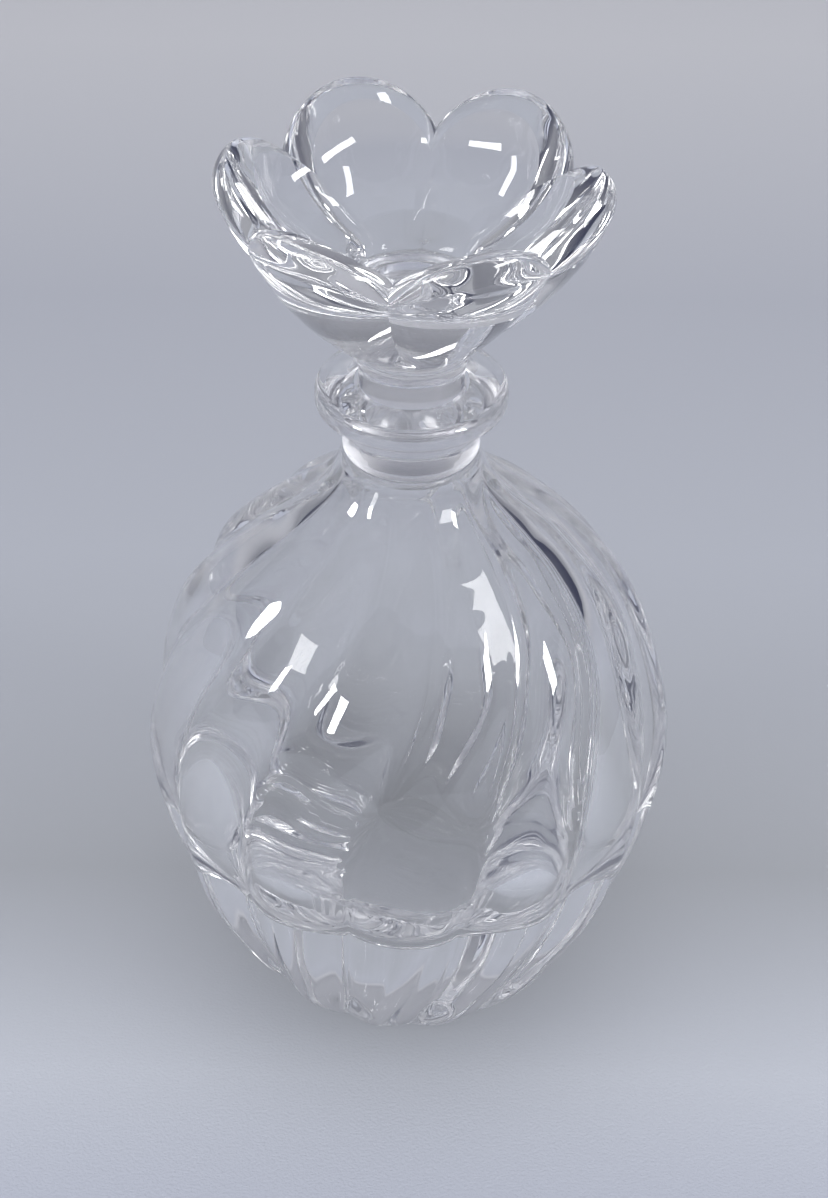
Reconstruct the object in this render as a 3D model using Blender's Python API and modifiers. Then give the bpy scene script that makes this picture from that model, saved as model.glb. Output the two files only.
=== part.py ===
"""Crystal scent bottle: a swirled, lobed bottle, its ground plug and the flower head on the plug.

Metres, +Z up. The origin is the centre of the flat foot that the bottle stands on, and -Y is
the front. Every piece is round the Z axis, which is also the axis the stopper lifts and turns on.
"""

import math

import bmesh
import bpy
from mathutils import Vector

MM = 0.001

# Whole object
HEIGHT = 163.0 * MM
FIT_GAP = 0.3 * MM
CAP_RADIUS = 0.6 * MM
SHARP_ANGLE = math.radians(40.0)
GLASS_IOR = 1.54

# Bottle, outside: radius over the lobes against height, from the foot to the narrowest of the neck
BODY_OUTLINE = [
    (24.2 * MM, 0.8 * MM),
    (28.6 * MM, 6.0 * MM),
    (33.4 * MM, 14.0 * MM),
    (39.2 * MM, 25.0 * MM),
    (43.3 * MM, 38.0 * MM),
    (45.2 * MM, 52.0 * MM),
    (42.9 * MM, 66.0 * MM),
    (37.2 * MM, 80.0 * MM),
    (27.0 * MM, 92.0 * MM),
    (16.0 * MM, 101.5 * MM),
    (12.1 * MM, 107.5 * MM),
    (11.3 * MM, 112.5 * MM),
]
FOOT_RADIUS = 23.0 * MM
BODY_STEPS = 2

# Lobes: thirteen swirled ribs with narrow valleys between them. Depth and turn against height
LOBES = 13
LOBE_DEPTHS = [
    (0.0 * MM, 1.2 * MM),
    (18.0 * MM, 2.6 * MM),
    (50.0 * MM, 2.6 * MM),
    (70.0 * MM, 2.2 * MM),
    (86.0 * MM, 1.7 * MM),
    (97.0 * MM, 0.9 * MM),
    (108.0 * MM, 0.0 * MM),
]
SHARP_VALLEY = 0.12
SOFT_VALLEY = 0.4
SHARP_BELOW = 50.0 * MM
SOFT_ABOVE = 88.0 * MM
STEPS_PER_LOBE = 6
FRONT = math.radians(-90.0)
SWIRL = [
    (0.0 * MM, math.radians(2.0)),
    (10.0 * MM, math.radians(7.0)),
    (20.0 * MM, math.radians(10.3)),
    (32.0 * MM, math.radians(12.7)),
    (46.0 * MM, math.radians(14.3)),
    (58.0 * MM, math.radians(17.0)),
    (68.0 * MM, math.radians(21.5)),
    (76.0 * MM, math.radians(27.0)),
    (84.0 * MM, math.radians(33.0)),
    (94.0 * MM, math.radians(39.5)),
    (104.0 * MM, math.radians(44.0)),
    (112.0 * MM, math.radians(45.0)),
]

# Neck, flange and ground bore
FLANGE_RADIUS = 15.95 * MM
FLANGE_UNDERSIDE = 118.4 * MM
MOUTH_HEIGHT = 122.5 * MM
FLANGE_FLARE = [
    (11.8 * MM, 116.2 * MM),
    (13.625 * MM, 117.9 * MM),
]
FLANGE_EDGE = 1.6 * MM
FLANGE_UNDER_EDGE = 1.12 * MM
FLANGE_EDGE_STEPS = 4
BORE_TOP_RADIUS = 9.0 * MM
BORE_FOOT_RADIUS = 8.4 * MM
BORE_FOOT = 107.0 * MM
MOUTH_CHAMFER = 0.5 * MM

# Reservoir: radius against height, from just under the bore to the middle of its floor. Its wall is
# drawn in softly behind every valley of the outside
RESERVOIR_OUTLINE = [
    (8.7 * MM, 105.6 * MM),
    (11.8 * MM, 100.6 * MM),
    (20.4 * MM, 92.2 * MM),
    (30.8 * MM, 80.0 * MM),
    (36.8 * MM, 66.0 * MM),
    (38.8 * MM, 53.0 * MM),
    (37.0 * MM, 42.0 * MM),
    (32.5 * MM, 34.5 * MM),
    (25.5 * MM, 30.3 * MM),
    (14.0 * MM, 28.2 * MM),
    (CAP_RADIUS, 27.6 * MM),
]
RESERVOIR_STEPS = 2
RIB_DEPTH = 0.9 * MM
RIBS_FULL_BELOW = 70.0 * MM
RIBS_END = 96.0 * MM
RIBS_FULL_RADIUS = 22.0 * MM

# Ground plug of the stopper
PLUG_TOP = 127.0 * MM
PLUG_FOOT = 108.0 * MM
PLUG_CHAMFER = 0.6 * MM
PLUG_SEGMENTS = 64

# Flower head: six petals with a thick rounded rim, all round one smooth bowl. Outside radius over
# the middle of a petal, and depth of the valley between two petals, against height
PETALS = 6
PETAL_STEPS = 12
FIRST_NOTCH = math.radians(22.0)
PETAL_OUTLINE = [
    (9.2 * MM, 127.3 * MM),
    (9.6 * MM, 130.7 * MM),
    (13.0 * MM, 132.8 * MM),
    (17.7 * MM, 137.0 * MM),
    (22.4 * MM, 142.0 * MM),
    (27.0 * MM, 148.0 * MM),
    (30.2 * MM, 153.6 * MM),
    (32.0 * MM, 158.0 * MM),
    (32.8 * MM, 160.5 * MM),
]
PETAL_VALLEYS = [
    (127.3 * MM, 0.0 * MM),
    (130.7 * MM, 0.2 * MM),
    (134.0 * MM, 2.5 * MM),
    (141.0 * MM, 2.8 * MM),
    (153.6 * MM, 2.8 * MM),
]
NOTCH_SHOULDER = 153.4 * MM
PETAL_SHOULDER = 158.2 * MM
NOTCH_CREST = (25.3 * MM, 155.5 * MM)
PETAL_CREST = (29.9 * MM, HEIGHT)
NOTCH_EDGE = 154.0 * MM
PETAL_EDGE = 161.4 * MM
RIM_ARC = 1.6
RIM_PULL = 1.5
RIM_FALL = 1.25

# Bowl inside the petals: radius in the middle of a petal against height, from the edge of the floor
# up, and how far the ridge between two petals stands out of it
BOWL_OUTLINE = [
    (11.0 * MM, 148.5 * MM),
    (16.8 * MM, 150.5 * MM),
    (21.5 * MM, 154.0 * MM),
    (24.0 * MM, 157.6 * MM),
    (25.5 * MM, 161.4 * MM),
]
BOWL_RIDGE = 1.5 * MM
BOWL_RIDGE_FULL = 152.5 * MM
BOWL_CENTRE = 148.1 * MM
BOWL_HALF_WAY = (5.5 * MM, 148.22 * MM)
BOWL_SPREAD = 1.6
OUTSIDE_ROWS = 9
RIM_STEPS = 4
INSIDE_ROWS = 6


def clear_scene():
    for obj in list(bpy.data.objects):
        bpy.data.objects.remove(obj, do_unlink=True)


def between(low, high, share):
    return low + (high - low) * share


def smooth_step(start, end, value):
    """0 before start, 1 after end, and a smooth rise between them."""
    share = min(max((value - start) / (end - start), 0.0), 1.0)
    return share * share * (3.0 - 2.0 * share)


def curve_through(points, steps):
    """A smooth curve through the points: Catmull-Rom, with the given number of steps between two."""
    found = []
    for index in range(len(points) - 1):
        before = Vector(points[max(index - 1, 0)])
        start = Vector(points[index])
        end = Vector(points[index + 1])
        after = Vector(points[min(index + 2, len(points) - 1)])
        for step in range(steps):
            share = step / steps
            found.append(
                0.5
                * (
                    2.0 * start
                    + (end - before) * share
                    + (2.0 * before - 5.0 * start + 4.0 * end - after) * share**2
                    + (3.0 * start - before - 3.0 * end + after) * share**3
                )
            )
    found.append(Vector(points[-1]))
    return found


def value_at(table, key, key_column, value_column):
    """The value at a key, from a smooth curve through a table sorted by that key."""
    keys = [row[key_column] for row in table]
    last = len(keys) - 2
    index = min(max(sum(1 for k in keys if k <= key) - 1, 0), last)
    share = (key - keys[index]) / (keys[index + 1] - keys[index])
    share = min(max(share, 0.0), 1.0)
    low = table[index][value_column]
    high = table[index + 1][value_column]
    slopes = []
    for place in (index, index + 1):
        back = max(place - 1, 0)
        ahead = min(place + 1, len(keys) - 1)
        rise = table[ahead][value_column] - table[back][value_column]
        slopes.append(rise / (keys[ahead] - keys[back]) * (keys[index + 1] - keys[index]))
    square = share * share
    cube = square * share
    return (
        (2.0 * cube - 3.0 * square + 1.0) * low
        + (cube - 2.0 * square + share) * slopes[0]
        + (3.0 * square - 2.0 * cube) * high
        + (cube - square) * slopes[1]
    )


def principled(name, colour, roughness):
    """Clear or ground glass."""
    material = bpy.data.materials.new(name)
    material.use_nodes = True
    shader = material.node_tree.nodes["Principled BSDF"]
    shader.inputs["Base Color"].default_value = (*colour, 1.0)
    shader.inputs["Roughness"].default_value = roughness
    shader.inputs["Metallic"].default_value = 0.0
    shader.inputs["IOR"].default_value = GLASS_IOR
    shader.inputs["Transmission Weight"].default_value = 1.0
    return material


def collection_named(name):
    collection = bpy.data.collections.new(name)
    bpy.context.scene.collection.children.link(collection)
    return collection


def lofted(name, rings, collection, material):
    """A closed loft: every ring has the same number of points, and the two end rings are capped."""
    shape = bmesh.new()
    rows = [[shape.verts.new(point) for point in ring] for ring in rings]
    count = len(rings[0])
    for lower, upper in zip(rows, rows[1:]):
        for index in range(count):
            after = (index + 1) % count
            shape.faces.new((lower[index], lower[after], upper[after], upper[index]))
    shape.faces.new(rows[0][::-1])
    shape.faces.new(rows[-1])
    bmesh.ops.recalc_face_normals(shape, faces=shape.faces)
    mesh = bpy.data.meshes.new(name)
    shape.to_mesh(mesh)
    shape.free()
    mesh.shade_smooth()
    mesh.set_sharp_from_angle(angle=SHARP_ANGLE)
    mesh.materials.append(material)
    obj = bpy.data.objects.new(name, mesh)
    collection.objects.link(obj)
    return obj


def lobe_share(turn, softness):
    """0 in a valley and 1 on a lobe's crest, for the share of the way from valley to valley."""
    wave = math.sqrt(math.sin(math.pi * turn) ** 2 + softness**2) - softness
    return wave / (math.sqrt(1.0 + softness**2) - softness)


def swirled_ring(radius, height, depth=0.0, lift=0.0):
    """One ring of the bottle: its points follow the swirl, so a valley is one line of the mesh.

    depth draws the valleys in towards the axis and lift raises them.
    """
    swirl = value_at(SWIRL, height, 0, 1)
    softness = between(SHARP_VALLEY, SOFT_VALLEY, smooth_step(SHARP_BELOW, SOFT_ABOVE, height))
    ring = []
    for index in range(LOBES * STEPS_PER_LOBE):
        turn = index / STEPS_PER_LOBE
        angle = FRONT + swirl + turn * 2.0 * math.pi / LOBES
        valley = 1.0 - lobe_share(turn, softness)
        reach = radius - depth * valley
        ring.append((reach * math.cos(angle), reach * math.sin(angle), height + lift * valley))
    return ring


def flange_edge():
    """The flare under the flange and its rounded rim, from the neck to the flat top."""
    points = list(FLANGE_FLARE)
    low = FLANGE_UNDERSIDE + FLANGE_UNDER_EDGE
    high = MOUTH_HEIGHT - FLANGE_EDGE
    for start, centre, rise in ((-90.0, low, FLANGE_UNDER_EDGE), (0.0, high, FLANGE_EDGE)):
        for step in range(FLANGE_EDGE_STEPS + 1):
            angle = math.radians(start + 90.0 * step / FLANGE_EDGE_STEPS)
            reach = FLANGE_RADIUS - FLANGE_EDGE + FLANGE_EDGE * math.cos(angle)
            points.append((reach, centre + rise * math.sin(angle)))
    return points


def reservoir_rings():
    """The inside of the bottle. Its ribs stand square to the wall and run out towards the floor's middle."""
    outline = curve_through(RESERVOIR_OUTLINE, RESERVOIR_STEPS)
    rings = []
    for index, (radius, height) in enumerate(outline):
        along = outline[min(index + 1, len(outline) - 1)] - outline[max(index - 1, 0)]
        inward = Vector((along.y, -along.x)).normalized()
        rib = RIB_DEPTH * (1.0 - smooth_step(RIBS_FULL_BELOW, RIBS_END, height))
        rib *= smooth_step(0.0, RIBS_FULL_RADIUS, radius)
        rings.append(swirled_ring(radius, height, -rib * inward.x, rib * inward.y))
    return rings


def make_bottle(collection, material):
    """The bottle is one piece of glass: outside, over the flange, down the bore and round the inside."""
    rings = [swirled_ring(FOOT_RADIUS, 0.0, LOBE_DEPTHS[0][1])]
    for radius, height in curve_through(BODY_OUTLINE, BODY_STEPS):
        rings.append(swirled_ring(radius, height, value_at(LOBE_DEPTHS, height, 0, 1)))
    mouth = [
        (BORE_TOP_RADIUS + MOUTH_CHAMFER, MOUTH_HEIGHT),
        (BORE_TOP_RADIUS, MOUTH_HEIGHT - MOUTH_CHAMFER),
        (BORE_FOOT_RADIUS, BORE_FOOT),
    ]
    rings += [swirled_ring(radius, height) for radius, height in flange_edge() + mouth]
    rings += reservoir_rings()
    return lofted("bottle", rings, collection, material)


def make_plug(collection, material):
    """The turned, slightly tapered plug, a gap's width clear of the bore and of the head above it."""
    taper = (BORE_TOP_RADIUS - BORE_FOOT_RADIUS) / (MOUTH_HEIGHT - BORE_FOOT)
    top_radius = BORE_TOP_RADIUS - FIT_GAP + taper * (PLUG_TOP - MOUTH_HEIGHT)
    foot_radius = BORE_FOOT_RADIUS - FIT_GAP + taper * (PLUG_FOOT - BORE_FOOT)
    profile = [
        (0.0, PLUG_TOP),
        (top_radius - 0.5 * PLUG_CHAMFER, PLUG_TOP),
        (top_radius, PLUG_TOP - 0.5 * PLUG_CHAMFER),
        (foot_radius, PLUG_FOOT + PLUG_CHAMFER),
        (foot_radius - PLUG_CHAMFER, PLUG_FOOT),
        (0.0, PLUG_FOOT),
    ]
    mesh = bpy.data.meshes.new("stopper_plug")
    edges = [(index, index + 1) for index in range(len(profile) - 1)]
    mesh.from_pydata([(r, 0.0, z) for r, z in profile], edges, [])
    mesh.materials.append(material)
    plug = bpy.data.objects.new("stopper_plug", mesh)
    collection.objects.link(plug)
    turning = plug.modifiers.new("turning", "SCREW")
    turning.steps = PLUG_SEGMENTS
    turning.render_steps = PLUG_SEGMENTS
    turning.use_merge_vertices = True
    turning.merge_threshold = 0.00001
    turning.use_smooth_shade = False
    return plug


def petal_outside(height, side):
    """Outside radius of a petal at a height. side is 0 over the middle of the petal and 1 in a valley."""
    valley = value_at(PETAL_VALLEYS, height, 0, 1)
    return value_at(PETAL_OUTLINE, height, 1, 0) - valley * side * side


def bowl_radius(height, side):
    """Inside radius of the bowl at a height."""
    ridge = BOWL_RIDGE * smooth_step(BOWL_OUTLINE[0][1], BOWL_RIDGE_FULL, height)
    return value_at(BOWL_OUTLINE, height, 1, 0) - ridge * side * side


def bent(start, leaving, end, arriving, share):
    """A point on the curve that leaves start and arrives at end along the two given ways."""
    square = share * share
    cube = square * share
    return (
        start * (2.0 * cube - 3.0 * square + 1.0)
        + leaving * (cube - 2.0 * square + share)
        + end * (3.0 * square - 2.0 * cube)
        + arriving * (cube - square)
    )


def petal_column(side):
    """One half section of the head, from its foot over the rim to the middle of the bowl.

    side runs from -1 to 1 over a petal, notch to notch. The rim over it is part of a circle.
    """
    flat = math.sqrt(RIM_ARC**2 - 1.0)
    rise = (math.sqrt(RIM_ARC**2 - side**2) - flat) / (RIM_ARC - flat)
    foot = PETAL_OUTLINE[0][1]
    top = between(NOTCH_SHOULDER, PETAL_SHOULDER, rise)
    column = []
    for row in range(OUTSIDE_ROWS + 1):
        height = between(foot, top, row / OUTSIDE_ROWS)
        column.append((petal_outside(height, side), height))
    shoulder = Vector(column[-1])
    crest = Vector(NOTCH_CREST).lerp(Vector(PETAL_CREST), rise)
    leaving = (shoulder - Vector(column[-2])).normalized() * (crest - shoulder).length
    arriving = Vector((crest.x - shoulder.x, 0.0)) * RIM_PULL
    for step in range(1, RIM_STEPS + 1):
        column.append(tuple(bent(shoulder, leaving, crest, arriving, step / RIM_STEPS)))
    edge_height = between(NOTCH_EDGE, PETAL_EDGE, rise)
    edge = bowl_radius(edge_height, side)
    for step in range(1, RIM_STEPS + 1):
        share = step / RIM_STEPS
        column.append((between(crest.x, edge, share), between(crest.y, edge_height, share**RIM_FALL)))
    floor_height = BOWL_OUTLINE[0][1]
    for row in range(INSIDE_ROWS - 1, -1, -1):
        height = between(floor_height, edge_height, (row / INSIDE_ROWS) ** BOWL_SPREAD)
        column.append((bowl_radius(height, side), height))
    column.append(BOWL_HALF_WAY)
    column.append((CAP_RADIUS, BOWL_CENTRE))
    return column


def make_flower_head(collection, material):
    """Six petals: their columns of points stand closer together near the notches."""
    columns = []
    for petal in range(PETALS):
        for step in range(PETAL_STEPS):
            side = math.sin(math.pi * (step / PETAL_STEPS - 0.5))
            angle = FIRST_NOTCH + (petal + 0.5 + 0.5 * side) * 2.0 * math.pi / PETALS
            columns.append([(r * math.cos(angle), r * math.sin(angle), z) for r, z in petal_column(side)])
    rings = [list(ring) for ring in zip(*columns)]
    return lofted("flower_head", rings, collection, material)


def main():
    clear_scene()
    parts = collection_named("crystal_scent_bottle")
    clear_crystal = principled("clear_crystal", (0.97, 0.98, 0.98), 0.02)
    ground_glass = principled("ground_glass", (0.90, 0.91, 0.92), 0.45)
    make_bottle(parts, clear_crystal)
    plug = make_plug(parts, ground_glass)
    head = make_flower_head(parts, clear_crystal)
    head.parent = plug


main()
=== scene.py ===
"""The looks of the crystal scent bottle: fine glass over the frame, a cloth and studio light."""

import math

import bmesh
import bpy
from mathutils import Matrix, Vector, noise


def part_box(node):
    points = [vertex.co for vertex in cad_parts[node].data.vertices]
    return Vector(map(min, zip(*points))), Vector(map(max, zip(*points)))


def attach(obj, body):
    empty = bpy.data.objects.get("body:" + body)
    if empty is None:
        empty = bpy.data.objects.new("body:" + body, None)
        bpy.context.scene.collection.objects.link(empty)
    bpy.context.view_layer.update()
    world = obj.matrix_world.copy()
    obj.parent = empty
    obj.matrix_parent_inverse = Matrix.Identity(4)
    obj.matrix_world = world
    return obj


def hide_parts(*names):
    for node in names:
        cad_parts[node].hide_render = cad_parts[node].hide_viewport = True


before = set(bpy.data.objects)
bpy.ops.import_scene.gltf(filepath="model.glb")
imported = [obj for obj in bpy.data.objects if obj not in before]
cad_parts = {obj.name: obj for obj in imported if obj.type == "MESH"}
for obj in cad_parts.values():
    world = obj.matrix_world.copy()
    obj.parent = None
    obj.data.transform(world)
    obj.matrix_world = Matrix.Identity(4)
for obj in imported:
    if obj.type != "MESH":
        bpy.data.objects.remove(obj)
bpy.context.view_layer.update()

# The frame gives the size. Lengths of the glass are those of a bottle DRAWN_HEIGHT millimetres tall.
# MM brings one of them to the frame's metres, and scaled() does so for a whole table
HEAD_LOW, HEAD_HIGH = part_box("flower_head")
PLUG_LOW, PLUG_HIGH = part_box("stopper_plug")
BOTTLE_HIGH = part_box("bottle")[1]
HEIGHT = HEAD_HIGH[2]
MOUTH_HEIGHT = BOTTLE_HIGH[2]
DRAWN_HEIGHT = 163.0
MM = HEIGHT / DRAWN_HEIGHT
CAP_RADIUS = 0.3 * MM
SHARP_ANGLE = math.radians(28.0)
FRONT = math.radians(-90.0)

# Bottle outside, from the foot's rounding to the neck: radius over the lobes, and height
BODY_OUTLINE = [
    (24.2, 0.8),
    (28.6, 6.0),
    (33.4, 14.0),
    (39.2, 25.0),
    (43.3, 38.0),
    (45.2, 52.0),
    (42.9, 66.0),
    (37.2, 80.0),
    (27.0, 92.0),
    (16.0, 101.5),
    (12.1, 107.5),
    (11.3, 112.5),
]
FOOT_RADIUS = 23.0 * MM
BODY_STEPS = 9

# Thirteen swirled lobes: height and depth of the valleys, then height and turn in degrees
LOBES = 13
STEPS_PER_LOBE = 20
LOBE_DEPTHS = [
    (0.0, 1.2),
    (18.0, 2.6),
    (50.0, 2.6),
    (70.0, 2.2),
    (86.0, 1.7),
    (97.0, 0.9),
    (108.0, 0.0),
]
SHARP_VALLEY = 0.12
SOFT_VALLEY = 0.4
SHARP_BELOW = 50.0 * MM
SOFT_ABOVE = 88.0 * MM
SWIRL = [
    (0.0, 2.0),
    (10.0, 7.0),
    (20.0, 10.3),
    (32.0, 12.7),
    (46.0, 14.3),
    (58.0, 17.0),
    (68.0, 21.5),
    (76.0, 27.0),
    (84.0, 33.0),
    (94.0, 39.5),
    (104.0, 44.0),
    (112.0, 45.0),
]

# Flange over the neck, with the flare that leads to it, and the ground bore
FLANGE_RADIUS = 15.95 * MM
FLANGE_UNDERSIDE = 118.4 * MM
FLANGE_FLARE = [
    (11.42, 114.6),
    (11.9, 116.3),
    (13.253, 117.7),
]
FLANGE_EDGE = 1.6 * MM
FLANGE_UNDER_EDGE = 1.12 * MM
FLANGE_EDGE_STEPS = 10
BORE_TOP_RADIUS = 9.0 * MM
BORE_FOOT_RADIUS = 8.4 * MM
BORE_FOOT = 107.0 * MM
MOUTH_CHAMFER = 0.5 * MM
BORE_ROWS = 6

# Reservoir from under the bore to the middle of its floor: radius and height. Soft ribs stand
# behind the valleys of the outside, and the wall between them ripples a little
RESERVOIR_OUTLINE = [
    (8.7, 105.6),
    (11.8, 100.6),
    (20.4, 92.2),
    (30.8, 80.0),
    (36.8, 66.0),
    (38.8, 53.0),
    (37.0, 42.0),
    (32.5, 34.5),
    (25.5, 30.3),
    (14.0, 28.2),
    (0.3, 27.6),
]
RESERVOIR_STEPS = 9
RIB_DEPTH = 0.9 * MM
RIBS_FULL_BELOW = 70.0 * MM
RIBS_END = 96.0 * MM
RIBS_FULL_RADIUS = 22.0 * MM
RIPPLE = 0.3 * MM
RIPPLE_STEP = 30.0 * MM
RIPPLE_SCALE = 2.2

# Plug of the stopper
PLUG_CHAMFER = 0.6 * MM
PLUG_SEGMENTS = 128
PLUG_ROWS = 8

# Flower head: radius and height over a petal's middle, height and depth of the valleys between
# petals, the rim at a notch and at a petal's middle, and radius and height in the bowl. RIM_ARC is
# the radius of the arc over a petal whose half width is 1
PETALS = 6
PETAL_STEPS = 44
FIRST_NOTCH = math.radians(22.0)
PETAL_OUTLINE = [
    (9.2, 127.3),
    (9.6, 130.7),
    (13.0, 132.8),
    (17.7, 137.0),
    (22.4, 142.0),
    (27.0, 148.0),
    (30.2, 153.6),
    (32.0, 158.0),
    (32.8, 160.5),
]
PETAL_VALLEYS = [
    (127.3, 0.0),
    (130.7, 0.2),
    (134.0, 2.5),
    (141.0, 2.8),
    (153.6, 2.8),
]
NOTCH_SHOULDER = 153.4 * MM
PETAL_SHOULDER = 158.2 * MM
NOTCH_CREST = (25.3 * MM, 155.5 * MM)
PETAL_CREST = (29.9 * MM, HEIGHT)
NOTCH_EDGE = 154.0 * MM
PETAL_EDGE = 161.4 * MM
RIM_ARC = 1.6
RIM_PULL = 1.5
RIM_FALL = 1.25
BOWL_OUTLINE = [
    (11.0, 148.5),
    (16.8, 150.5),
    (21.5, 154.0),
    (24.0, 157.6),
    (25.5, 161.4),
]
BOWL_RIDGE = 1.5 * MM
BOWL_RIDGE_FULL = 152.5 * MM
BOWL_CENTRE = 148.1 * MM
BOWL_SPREAD = 1.6
OUTSIDE_ROWS = 48
RIM_STEPS = 14
INSIDE_ROWS = 36
FLOOR_ROWS = 12


def scaled(table):
    return [(a * MM, b * MM) for a, b in table]


def between(low, high, share):
    return low + (high - low) * share


def smooth_step(start, end, value):
    share = min(max((value - start) / (end - start), 0.0), 1.0)
    return share * share * (3.0 - 2.0 * share)


def curve_through(points, steps):
    """A smooth curve through the points, with the given number of steps between two of them."""
    found = []
    for index in range(len(points) - 1):
        before = Vector(points[max(index - 1, 0)])
        start = Vector(points[index])
        end = Vector(points[index + 1])
        after = Vector(points[min(index + 2, len(points) - 1)])
        for step in range(steps):
            share = step / steps
            found.append(
                0.5
                * (
                    2.0 * start
                    + (end - before) * share
                    + (2.0 * before - 5.0 * start + 4.0 * end - after) * share**2
                    + (3.0 * start - before - 3.0 * end + after) * share**3
                )
            )
    found.append(Vector(points[-1]))
    return found


def value_at(table, key, key_column, value_column):
    """The value at a key, from a smooth curve through a table sorted by that key."""
    keys = [row[key_column] for row in table]
    last = len(keys) - 2
    index = min(max(sum(1 for k in keys if k <= key) - 1, 0), last)
    share = (key - keys[index]) / (keys[index + 1] - keys[index])
    share = min(max(share, 0.0), 1.0)
    low = table[index][value_column]
    high = table[index + 1][value_column]
    slopes = []
    for place in (index, index + 1):
        back = max(place - 1, 0)
        ahead = min(place + 1, len(keys) - 1)
        rise = table[ahead][value_column] - table[back][value_column]
        slopes.append(rise / (keys[ahead] - keys[back]) * (keys[index + 1] - keys[index]))
    square = share * share
    cube = square * share
    return (
        (2.0 * cube - 3.0 * square + 1.0) * low
        + (cube - 2.0 * square + share) * slopes[0]
        + (3.0 * square - 2.0 * cube) * high
        + (cube - square) * slopes[1]
    )


def lofted(name, rings, materials):
    """A closed loft through rings of equal length, capped at both ends, with smooth shading."""
    shape = bmesh.new()
    rows = [[shape.verts.new(point) for point in ring] for ring in rings]
    count = len(rings[0])
    for lower, upper in zip(rows, rows[1:]):
        for index in range(count):
            after = (index + 1) % count
            shape.faces.new((lower[index], lower[after], upper[after], upper[index]))
    shape.faces.new(rows[0][::-1])
    shape.faces.new(rows[-1])
    bmesh.ops.recalc_face_normals(shape, faces=shape.faces)
    mesh = bpy.data.meshes.new(name)
    shape.to_mesh(mesh)
    shape.free()
    mesh.shade_smooth()
    mesh.set_sharp_from_angle(angle=SHARP_ANGLE)
    for material in materials:
        mesh.materials.append(material)
    obj = bpy.data.objects.new(name, mesh)
    bpy.context.scene.collection.objects.link(obj)
    return obj


# Bottle


def lobe_share(turn, softness):
    """0 in a valley and 1 on a lobe's crest, for the share of the way from valley to valley."""
    wave = math.sqrt(math.sin(math.pi * turn) ** 2 + softness**2) - softness
    return wave / (math.sqrt(1.0 + softness**2) - softness)


def swirled_ring(radius, height, depth=0.0, lift=0.0, ripple=0.0):
    """One ring of the bottle. Its points follow the swirl, so a valley is one line of the mesh.

    depth draws the valleys in, lift raises them, and ripple is how far the wall wavers.
    """
    swirl = math.radians(value_at(SWIRL, height / MM, 0, 1))
    softness = between(SHARP_VALLEY, SOFT_VALLEY, smooth_step(SHARP_BELOW, SOFT_ABOVE, height))
    ring = []
    for index in range(LOBES * STEPS_PER_LOBE):
        turn = index / STEPS_PER_LOBE
        angle = FRONT + swirl + turn * 2.0 * math.pi / LOBES
        valley = 1.0 - lobe_share(turn, softness)
        reach = radius - depth * valley
        if ripple:
            place = Vector((math.cos(angle), math.sin(angle), height / RIPPLE_STEP))
            reach += ripple * noise.noise(place * RIPPLE_SCALE)
        ring.append((reach * math.cos(angle), reach * math.sin(angle), height + lift * valley))
    return ring


def flange_edge():
    """The flare under the flange and its rounded rim, from the neck to the flat top."""
    points = scaled(FLANGE_FLARE)
    low = FLANGE_UNDERSIDE + FLANGE_UNDER_EDGE
    high = MOUTH_HEIGHT - FLANGE_EDGE
    for start, centre, rise in ((-90.0, low, FLANGE_UNDER_EDGE), (0.0, high, FLANGE_EDGE)):
        for step in range(FLANGE_EDGE_STEPS + 1):
            angle = math.radians(start + 90.0 * step / FLANGE_EDGE_STEPS)
            reach = FLANGE_RADIUS - FLANGE_EDGE + FLANGE_EDGE * math.cos(angle)
            points.append((reach, centre + rise * math.sin(angle)))
    return points


def reservoir_rings():
    """The inside of the bottle. Its ribs stand square to the wall and fade to the floor's middle."""
    outline = curve_through(scaled(RESERVOIR_OUTLINE), RESERVOIR_STEPS)
    rings = []
    for index, (radius, height) in enumerate(outline):
        along = outline[min(index + 1, len(outline) - 1)] - outline[max(index - 1, 0)]
        inward = Vector((along.y, -along.x)).normalized()
        rib = RIB_DEPTH * (1.0 - smooth_step(RIBS_FULL_BELOW, RIBS_END, height))
        rib *= smooth_step(0.0, RIBS_FULL_RADIUS, radius)
        ripple = RIPPLE * rib / RIB_DEPTH
        rings.append(swirled_ring(radius, height, -rib * inward.x, rib * inward.y, ripple))
    return rings


def paint_rows(obj, first, last, count, slot):
    """Gives the faces between two rings of a lofted piece the material in a slot."""
    for index in range(first * count, last * count):
        obj.data.polygons[index].material_index = slot


def make_bottle(clear, seat):
    """Outside, over the flange, down the bore and round the inside. The bore's wall is ground."""
    body = curve_through(scaled(BODY_OUTLINE), BODY_STEPS)
    depths = scaled(LOBE_DEPTHS)
    rings = [swirled_ring(FOOT_RADIUS, 0.0, depths[0][1])]
    rings += [swirled_ring(r, z, value_at(depths, z, 0, 1)) for r, z in body]
    rings += [swirled_ring(r, z) for r, z in flange_edge()]
    rings.append(swirled_ring(BORE_TOP_RADIUS + MOUTH_CHAMFER, MOUTH_HEIGHT))
    bore_from = len(rings)
    for row in range(BORE_ROWS + 1):
        share = row / BORE_ROWS
        radius = between(BORE_TOP_RADIUS, BORE_FOOT_RADIUS, share)
        rings.append(swirled_ring(radius, between(MOUTH_HEIGHT - MOUTH_CHAMFER, BORE_FOOT, share)))
    bore_to = len(rings) - 1
    bottle = lofted("bottle_crystal", rings + reservoir_rings(), [clear, seat])
    paint_rows(bottle, bore_from, bore_to, LOBES * STEPS_PER_LOBE, 1)
    return bottle


# Stopper


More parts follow.
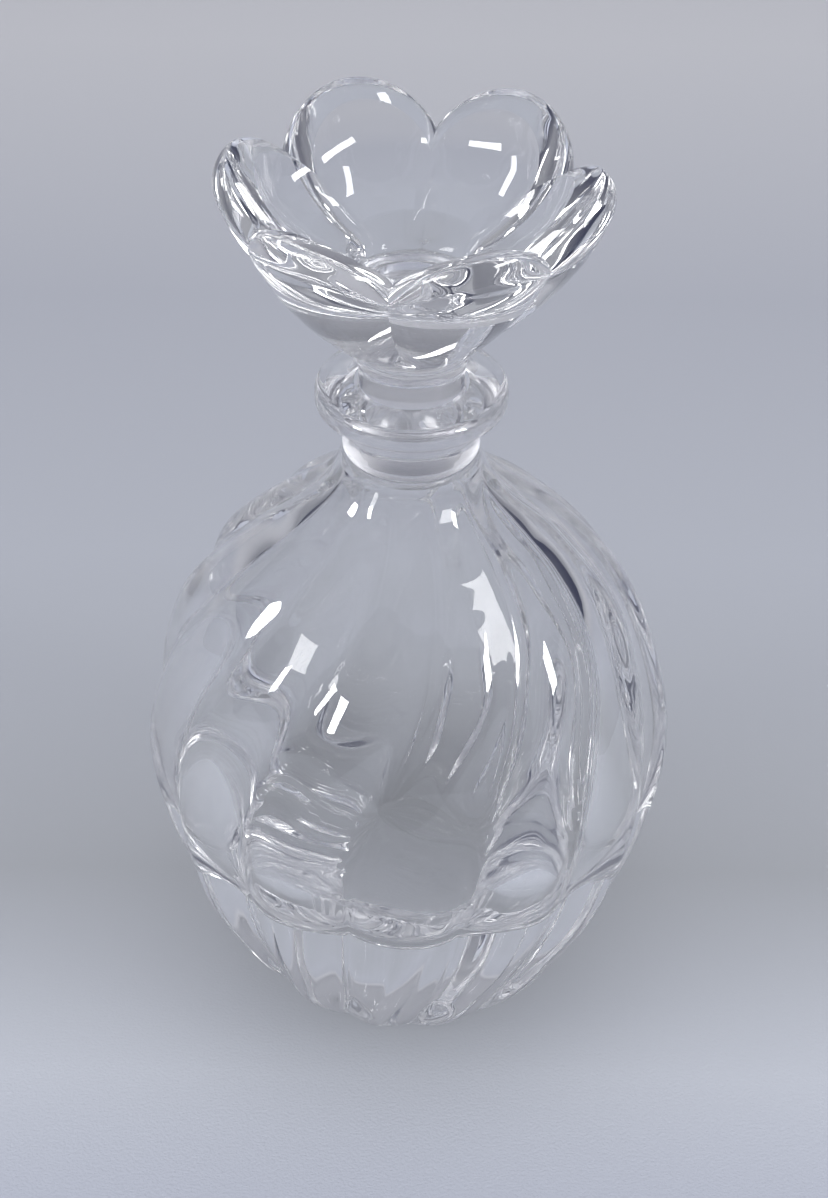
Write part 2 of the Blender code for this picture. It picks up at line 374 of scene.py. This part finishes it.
def make_plug(clear, seat):
    """The plug: its side in the bore and its top are ground, and the rest of it is polished."""
    radius_top = PLUG_HIGH[0]
    taper = (BORE_TOP_RADIUS - BORE_FOOT_RADIUS) / (MOUTH_HEIGHT - BORE_FOOT)
    rows = [(CAP_RADIUS, PLUG_HIGH[2]), (radius_top - 0.5 * PLUG_CHAMFER, PLUG_HIGH[2])]
    levels = [PLUG_HIGH[2] - 0.5 * PLUG_CHAMFER, MOUTH_HEIGHT, PLUG_LOW[2] + PLUG_CHAMFER]
    for high, low in zip(levels, levels[1:]):
        for step in range(PLUG_ROWS):
            height = between(high, low, step / PLUG_ROWS)
            rows.append((radius_top - taper * (PLUG_HIGH[2] - height), height))
    radius_foot = radius_top - taper * (PLUG_HIGH[2] - levels[-1])
    rows.append((radius_foot, levels[-1]))
    rows.append((radius_foot - PLUG_CHAMFER, PLUG_LOW[2]))
    rows.append((CAP_RADIUS, PLUG_LOW[2]))
    turns = [2.0 * math.pi * index / PLUG_SEGMENTS for index in range(PLUG_SEGMENTS)]
    rings = [[(r * math.cos(a), r * math.sin(a), z) for a in turns] for r, z in rows]
    plug = lofted("plug_ground", rings, [clear, seat])
    paint_rows(plug, 0, 1, PLUG_SEGMENTS, 1)
    paint_rows(plug, 2 + PLUG_ROWS, 2 + 2 * PLUG_ROWS, PLUG_SEGMENTS, 1)
    return plug


def bent(start, leaving, end, arriving, share):
    """A point on the curve that leaves start and arrives at end along the two given ways."""
    square = share * share
    cube = square * share
    return (
        start * (2.0 * cube - 3.0 * square + 1.0)
        + leaving * (cube - 2.0 * square + share)
        + end * (3.0 * square - 2.0 * cube)
        + arriving * (cube - square)
    )


def petal_column(side, outline, valleys, bowl):
    """One half section of the head, from its foot over the rim to the middle of the bowl.

    side runs from -1 to 1 over a petal, notch to notch. The rim over it is part of a circle.
    """

    def inside(height):
        ridge = BOWL_RIDGE * smooth_step(bowl[0][1], BOWL_RIDGE_FULL, height)
        return value_at(bowl, height, 1, 0) - ridge * side * side

    flat = math.sqrt(RIM_ARC**2 - 1.0)
    rise = (math.sqrt(RIM_ARC**2 - side**2) - flat) / (RIM_ARC - flat)
    top = between(NOTCH_SHOULDER, PETAL_SHOULDER, rise)
    column = []
    for row in range(OUTSIDE_ROWS + 1):
        height = between(HEAD_LOW[2], top, row / OUTSIDE_ROWS)
        valley = value_at(valleys, height, 0, 1)
        column.append((value_at(outline, height, 1, 0) - valley * side * side, height))
    shoulder = Vector(column[-1])
    crest = Vector(NOTCH_CREST).lerp(Vector(PETAL_CREST), rise)
    leaving = (shoulder - Vector(column[-2])).normalized() * (crest - shoulder).length
    arriving = Vector((crest.x - shoulder.x, 0.0)) * RIM_PULL
    for step in range(1, RIM_STEPS + 1):
        column.append(tuple(bent(shoulder, leaving, crest, arriving, step / RIM_STEPS)))
    edge_height = between(NOTCH_EDGE, PETAL_EDGE, rise)
    edge = inside(edge_height)
    for step in range(1, RIM_STEPS + 1):
        share = step / RIM_STEPS
        height = between(crest.y, edge_height, share**RIM_FALL)
        column.append((between(crest.x, edge, share), height))
    floor, floor_height = bowl[0]
    for row in range(INSIDE_ROWS - 1, -1, -1):
        height = between(floor_height, edge_height, (row / INSIDE_ROWS) ** BOWL_SPREAD)
        column.append((inside(height), height))
    for row in range(1, FLOOR_ROWS + 1):
        share = row / FLOOR_ROWS
        height = between(floor_height, BOWL_CENTRE, math.sin(0.5 * math.pi * share))
        column.append((between(floor, CAP_RADIUS, share), height))
    return column


def make_head(clear, seat):
    """Six petals round the bowl. The head's foot is the joint to the plug."""
    tables = [scaled(table) for table in (PETAL_OUTLINE, PETAL_VALLEYS, BOWL_OUTLINE)]
    columns = []
    for petal in range(PETALS):
        for step in range(PETAL_STEPS):
            side = math.sin(math.pi * (step / PETAL_STEPS - 0.5))
            angle = FIRST_NOTCH + (petal + 0.5 + 0.5 * side) * 2.0 * math.pi / PETALS
            column = petal_column(side, *tables)
            columns.append([(r * math.cos(angle), r * math.sin(angle), z) for r, z in column])
    head = lofted("flower_crystal", [list(ring) for ring in zip(*columns)], [clear, seat])
    head.data.polygons[-2].material_index = 1
    return head


# Materials. Colours are linear, and the cloth's lengths are in metres. LAMP_SHARE is what a lamp's
# light keeps at each surface of the glass

GLASS_IOR = 1.54
LAMP_SHARE = (0.97, 0.97, 0.975, 1.0)
GRAIN_DETAIL = 3.0
CLOTH_ROUGHNESS = 0.8
THREAD = 0.0006
THREAD_DETAIL = 1.0
WEAVE_HEIGHT = 0.4 * THREAD
WEAVE_FAINT_AT = 0.0
WEAVE_FAINT = 0.08
WEAVE_FULL_AT = -0.06
WEAVE_FULL = 0.6

# Cloth: distance behind the bottle's middle, and the colour there. Beyond the cloth's own pale tone,
# the colours are painted light: a painted glow in front of the foot, painted shade under and just
# behind the bottle, and lighter towards the back
CLOTH_TONES_AND_PAINTED_LIGHT = [
    (-0.08, (0.430, 0.455, 0.540)),
    # painted glow in front of the foot
    (-0.035, (0.530, 0.555, 0.618)),
    # painted shade under and just behind the bottle
    (0.02, (0.370, 0.384, 0.415)),
    (0.12, (0.448, 0.468, 0.523)),
    (0.22, (0.442, 0.458, 0.514)),
    # lighter at the back: painted light
    (0.34, (0.585, 0.590, 0.625)),
]


class Graph:
    """A material's nodes: add() makes one with its inputs set, join() links two sockets."""

    def __init__(self, name):
        self.material = bpy.data.materials.new(name)
        self.material.use_nodes = True
        self.tree = self.material.node_tree
        self.tree.nodes.clear()

    def add(self, kind, inputs=None):
        node = self.tree.nodes.new(kind)
        for key, value in (inputs or {}).items():
            node.inputs[key].default_value = value
        return node

    def join(self, source, target):
        self.tree.links.new(source, target)


def glass(name, colour, roughness, rough_spread, bump_scale, bump_height, seen_through=0.0):
    """Polished to ground glass: polish and surface vary a little, and lamps shine through it.

    seen_through is how much of it shows what is behind it unbent, as a filled joint does.
    """
    g = Graph(name)
    place = g.add("ShaderNodeTexCoord")
    grain = g.add("ShaderNodeTexNoise", {"Scale": bump_scale, "Detail": GRAIN_DETAIL})
    g.join(place.outputs["Object"], grain.inputs["Vector"])
    rough = g.add("ShaderNodeMapRange", {"To Min": roughness, "To Max": roughness + rough_spread})
    g.join(grain.outputs["Fac"], rough.inputs["Value"])
    bump = g.add("ShaderNodeBump", {"Strength": 1.0, "Distance": bump_height})
    g.join(grain.outputs["Fac"], bump.inputs["Height"])
    shader = g.add(
        "ShaderNodeBsdfPrincipled",
        {"Base Color": (*colour, 1.0), "IOR": GLASS_IOR, "Transmission Weight": 1.0},
    )
    g.join(rough.outputs["Result"], shader.inputs["Roughness"])
    g.join(bump.outputs["Normal"], shader.inputs["Normal"])
    look = shader.outputs["BSDF"]
    if seen_through:
        filled = g.add("ShaderNodeBsdfTransparent", {"Color": (*colour, 1.0)})
        joint = g.add("ShaderNodeMixShader", {"Fac": seen_through})
        g.join(look, joint.inputs[1])
        g.join(filled.outputs["BSDF"], joint.inputs[2])
        look = joint.outputs["Shader"]
    clear = g.add("ShaderNodeBsdfTransparent", {"Color": LAMP_SHARE})
    path = g.add("ShaderNodeLightPath")
    mix = g.add("ShaderNodeMixShader")
    g.join(path.outputs["Is Shadow Ray"], mix.inputs["Fac"])
    g.join(look, mix.inputs[1])
    g.join(clear.outputs["BSDF"], mix.inputs[2])
    out = g.add("ShaderNodeOutputMaterial")
    g.join(mix.outputs["Shader"], out.inputs["Surface"])
    return g.material


def cloth():
    """Pale lilac-grey cloth with painted light: painted shade under the bottle, a painted glow in
    front of its foot and lighter towards the back, with a fine weave that shows in front.
    """
    g = Graph("pale_cloth")
    place = g.add("ShaderNodeTexCoord")
    split = g.add("ShaderNodeSeparateXYZ")
    g.join(place.outputs["Object"], split.inputs["Vector"])
    nearest, farthest = CLOTH_TONES_AND_PAINTED_LIGHT[0][0], CLOTH_TONES_AND_PAINTED_LIGHT[-1][0]
    depth = g.add("ShaderNodeMapRange", {"From Min": nearest, "From Max": farthest})
    g.join(split.outputs["Y"], depth.inputs["Value"])
    # The ramp paints light and shade by distance: shade under the bottle, a glow in front of it,
    # more light at the back
    tone_and_painted_light = g.add("ShaderNodeValToRGB")
    stops = tone_and_painted_light.color_ramp.elements
    for index, (distance, colour) in enumerate(CLOTH_TONES_AND_PAINTED_LIGHT):
        share = (distance - nearest) / (farthest - nearest)
        stop = stops[index] if index < 2 else stops.new(share)
        stop.position = share
        stop.color = (*colour, 1.0)
    g.join(depth.outputs["Result"], tone_and_painted_light.inputs["Fac"])
    threads = g.add("ShaderNodeTexNoise", {"Scale": 1.0 / THREAD, "Detail": THREAD_DETAIL})
    g.join(place.outputs["Object"], threads.inputs["Vector"])
    nearness = g.add("ShaderNodeMapRange", {"To Min": WEAVE_FAINT, "To Max": WEAVE_FULL})
    nearness.inputs["From Min"].default_value = WEAVE_FAINT_AT
    nearness.inputs["From Max"].default_value = WEAVE_FULL_AT
    g.join(split.outputs["Y"], nearness.inputs["Value"])
    bump = g.add("ShaderNodeBump", {"Distance": WEAVE_HEIGHT})
    g.join(nearness.outputs["Result"], bump.inputs["Strength"])
    g.join(threads.outputs["Fac"], bump.inputs["Height"])
    shader = g.add("ShaderNodeBsdfPrincipled", {"Roughness": CLOTH_ROUGHNESS})
    g.join(tone_and_painted_light.outputs["Color"], shader.inputs["Base Color"])
    g.join(bump.outputs["Normal"], shader.inputs["Normal"])
    out = g.add("ShaderNodeOutputMaterial")
    g.join(shader.outputs["BSDF"], out.inputs["Surface"])
    return g.material


# Stage: the camera's place scales with the bottle, and the rest is in metres. The cloth lies
# SWEEP_DROP under the foot, so that glass and cloth share no face

CAMERA_REACH = 528.0 * MM
CAMERA_HEIGHT = 471.8 * MM
CAMERA_PITCH = math.radians(36.73)
CAMERA_ROLL = math.radians(0.6)
CAMERA_LENS = 116.0
CAMERA_SENSOR = 36.0
CAMERA_SHIFT = 0.0038
CAMERA_NEAREST = 0.01
EXPOSURE = -0.12
GLASS_BOUNCES = 40
CLEAR_BOUNCES = 24
LAMP_DISTANCE = 1.2
HORIZON_COLOUR = (0.035, 0.04, 0.08, 1.0)
ZENITH_COLOUR = (0.42, 0.43, 0.47, 1.0)
ZENITH_FROM = 0.9
ROOM_SEEN_COLOUR = (0.52, 0.53, 0.57, 1.0)
SWEEP_DROP = 0.0002
SWEEP_FLAT_TO = 1.0
SWEEP_RADIUS = 0.35
SWEEP_TOP = 2.2
SWEEP_FRONT = -0.5
SWEEP_HALF_WIDTH = 1.3
SWEEP_LEAN = math.radians(80.0)
SWEEP_STEPS = 24

# Lamps: the two directions each stretches between (azimuth from the front to the right, elevation),
# its height in metres, its radiance and what it lights
LAMPS = [
    ("softbox_left", (-68.0, 21.0), (-58.0, 23.0), 0.3, 40.0, "body_and_cloth"),
    ("softbox_right", (55.0, 30.0), (66.0, 30.0), 0.32, 40.0, "body_and_cloth"),
    ("bar_left", (-34.0, 43.0), (-73.0, 29.0), 0.17, 18.0, "flower"),
    ("bar_right", (54.0, 36.0), (105.0, 28.0), 0.17, 18.0, "flower"),
    ("bar_rear_left", (-92.0, 25.0), (-128.0, 41.0), 0.14, 14.0, "flower"),
    ("bar_rear_right", (93.0, 50.0), (138.0, 55.0), 0.12, 14.0, "flower"),
    ("overhead", (-90.0, 65.0), (90.0, 65.0), 1.0, 1.5, "cloth"),
]


def make_sweep():
    """A cloth laid flat under the bottle and curving up behind it."""
    profile = [(SWEEP_FRONT, 0.0), (SWEEP_FLAT_TO, 0.0)]
    for step in range(1, SWEEP_STEPS + 1):
        angle = SWEEP_LEAN * step / SWEEP_STEPS
        end_y = SWEEP_FLAT_TO + SWEEP_RADIUS * math.sin(angle)
        end_z = SWEEP_RADIUS * (1.0 - math.cos(angle))
        profile.append((end_y, end_z))
    profile.append((end_y + (SWEEP_TOP - end_z) / math.tan(SWEEP_LEAN), SWEEP_TOP))
    shape = bmesh.new()
    rows = []
    for y, z in profile:
        rows.append([shape.verts.new((x, y, z)) for x in (-SWEEP_HALF_WIDTH, SWEEP_HALF_WIDTH)])
    for lower, upper in zip(rows, rows[1:]):
        shape.faces.new((lower[0], lower[1], upper[1], upper[0]))
    mesh = bpy.data.meshes.new("sweep")
    shape.to_mesh(mesh)
    shape.free()
    mesh.shade_smooth()
    mesh.materials.append(cloth())
    sweep = bpy.data.objects.new("sweep", mesh)
    bpy.context.scene.collection.objects.link(sweep)
    sweep.location.z = -SWEEP_DROP
    return sweep


def direction(azimuth, elevation):
    """The way to a lamp as the object sees it: azimuth from the front, to the right, in degrees."""
    turn = math.radians(azimuth)
    rise = math.radians(elevation)
    level = math.cos(rise)
    return Vector((math.sin(turn) * level, -math.cos(turn) * level, math.sin(rise)))


def add_lamp(name, start, end, height, radiance, lit):
    """A soft rectangular lamp that stretches from one direction to another.

    It lights only the objects of the collection in lit.
    """
    ends = [direction(*way) * LAMP_DISTANCE for way in (start, end)]
    middle = 0.5 * (ends[0] + ends[1])
    data = bpy.data.lights.new(name, "AREA")
    data.shape = "RECTANGLE"
    data.size = (ends[1] - ends[0]).length
    data.size_y = height
    data.energy = radiance * math.pi * data.size * height
    lamp = bpy.data.objects.new(name, data)
    along = (ends[1] - ends[0]).normalized()
    away = middle.normalized()
    turned = Matrix((along, away.cross(along), away)).transposed().to_4x4()
    lamp.matrix_world = Matrix.Translation(middle + Vector((0.0, 0.0, 0.5 * HEIGHT))) @ turned
    lamp.light_linking.receiver_collection = lit
    bpy.context.scene.collection.objects.link(lamp)


def lit_group(name, objects):
    group = bpy.data.collections.new(name)
    for obj in objects:
        group.objects.link(obj)
    return group


def make_world():
    """A room that is dark at the horizon and light above. The camera itself sees it pale."""
    world = bpy.data.worlds.new("studio")
    world.use_nodes = True
    tree = world.node_tree
    tree.nodes.clear()
    place = tree.nodes.new("ShaderNodeTexCoord")
    split = tree.nodes.new("ShaderNodeSeparateXYZ")
    ramp = tree.nodes.new("ShaderNodeValToRGB")
    light = tree.nodes.new("ShaderNodeBackground")
    pale = tree.nodes.new("ShaderNodeBackground")
    path = tree.nodes.new("ShaderNodeLightPath")
    seen = tree.nodes.new("ShaderNodeMixShader")
    out = tree.nodes.new("ShaderNodeOutputWorld")
    low, high = ramp.color_ramp.elements
    low.color = HORIZON_COLOUR
    high.position = ZENITH_FROM
    high.color = ZENITH_COLOUR
    pale.inputs["Color"].default_value = ROOM_SEEN_COLOUR
    tree.links.new(place.outputs["Generated"], split.inputs["Vector"])
    tree.links.new(split.outputs["Z"], ramp.inputs["Fac"])
    tree.links.new(ramp.outputs["Color"], light.inputs["Color"])
    tree.links.new(path.outputs["Is Camera Ray"], seen.inputs["Fac"])
    tree.links.new(light.outputs["Background"], seen.inputs[1])
    tree.links.new(pale.outputs["Background"], seen.inputs[2])
    tree.links.new(seen.outputs["Shader"], out.inputs["Surface"])
    bpy.context.scene.world = world


def make_camera():
    """The photo's view: from the front, looking down, with a long lens."""
    data = bpy.data.cameras.new("camera")
    data.lens = CAMERA_LENS
    data.sensor_width = CAMERA_SENSOR
    data.shift_x = CAMERA_SHIFT
    data.clip_start = CAMERA_NEAREST
    camera = bpy.data.objects.new("camera", data)
    tilt = Matrix.Rotation(math.pi / 2.0 - CAMERA_PITCH, 4, "X")
    roll = Matrix.Rotation(CAMERA_ROLL, 4, "Z")
    camera.matrix_world = Matrix.Translation((0.0, -CAMERA_REACH, CAMERA_HEIGHT)) @ tilt @ roll
    bpy.context.scene.collection.objects.link(camera)
    bpy.context.scene.camera = camera


def make_pieces():
    """The three pieces of glass, each in place of its node and on its body."""
    crystal = glass(
        "clear_crystal",
        colour=(1.0, 1.0, 1.0),
        roughness=0.0,
        rough_spread=0.02,
        bump_scale=60.0,
        bump_height=0.00002,
    )
    seat = glass(
        "ground_seat",
        colour=(0.985, 0.985, 0.99),
        roughness=0.3,
        rough_spread=0.2,
        bump_scale=2500.0,
        bump_height=0.00001,
        seen_through=0.88,
    )
    pieces = [
        (make_bottle(crystal, seat), "bottle", "bottle", "clear_crystal"),
        (make_plug(crystal, seat), "stopper_plug", "plug", "ground_glass"),
        (make_head(crystal, seat), "flower_head", "head", "clear_crystal"),
    ]
    for piece, node, body, slot in pieces:
        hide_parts(node)
        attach(piece, body)
    return [row[0] for row in pieces]


def set_look():
    """Bounces enough for every wall of the glass. The lamps' light needs no caustics to cross it."""
    scene = bpy.context.scene
    scene.cycles.max_bounces = GLASS_BOUNCES
    scene.cycles.transmission_bounces = GLASS_BOUNCES
    scene.cycles.glossy_bounces = GLASS_BOUNCES
    scene.cycles.transparent_max_bounces = CLEAR_BOUNCES
    scene.cycles.caustics_refractive = False
    scene.cycles.caustics_reflective = False
    scene.view_settings.view_transform = "Standard"
    scene.view_settings.exposure = EXPOSURE


def main():
    bottle, plug, head = make_pieces()
    sweep = make_sweep()
    make_world()
    lit = {
        "body_and_cloth": lit_group("lit_body_and_cloth", (bottle, plug, sweep)),
        "flower": lit_group("lit_flower", (head,)),
        "cloth": lit_group("lit_cloth", (sweep,)),
    }
    for name, start, end, height, radiance, group in LAMPS:
        add_lamp(name, start, end, height, radiance, lit[group])
    make_camera()
    set_look()


main()
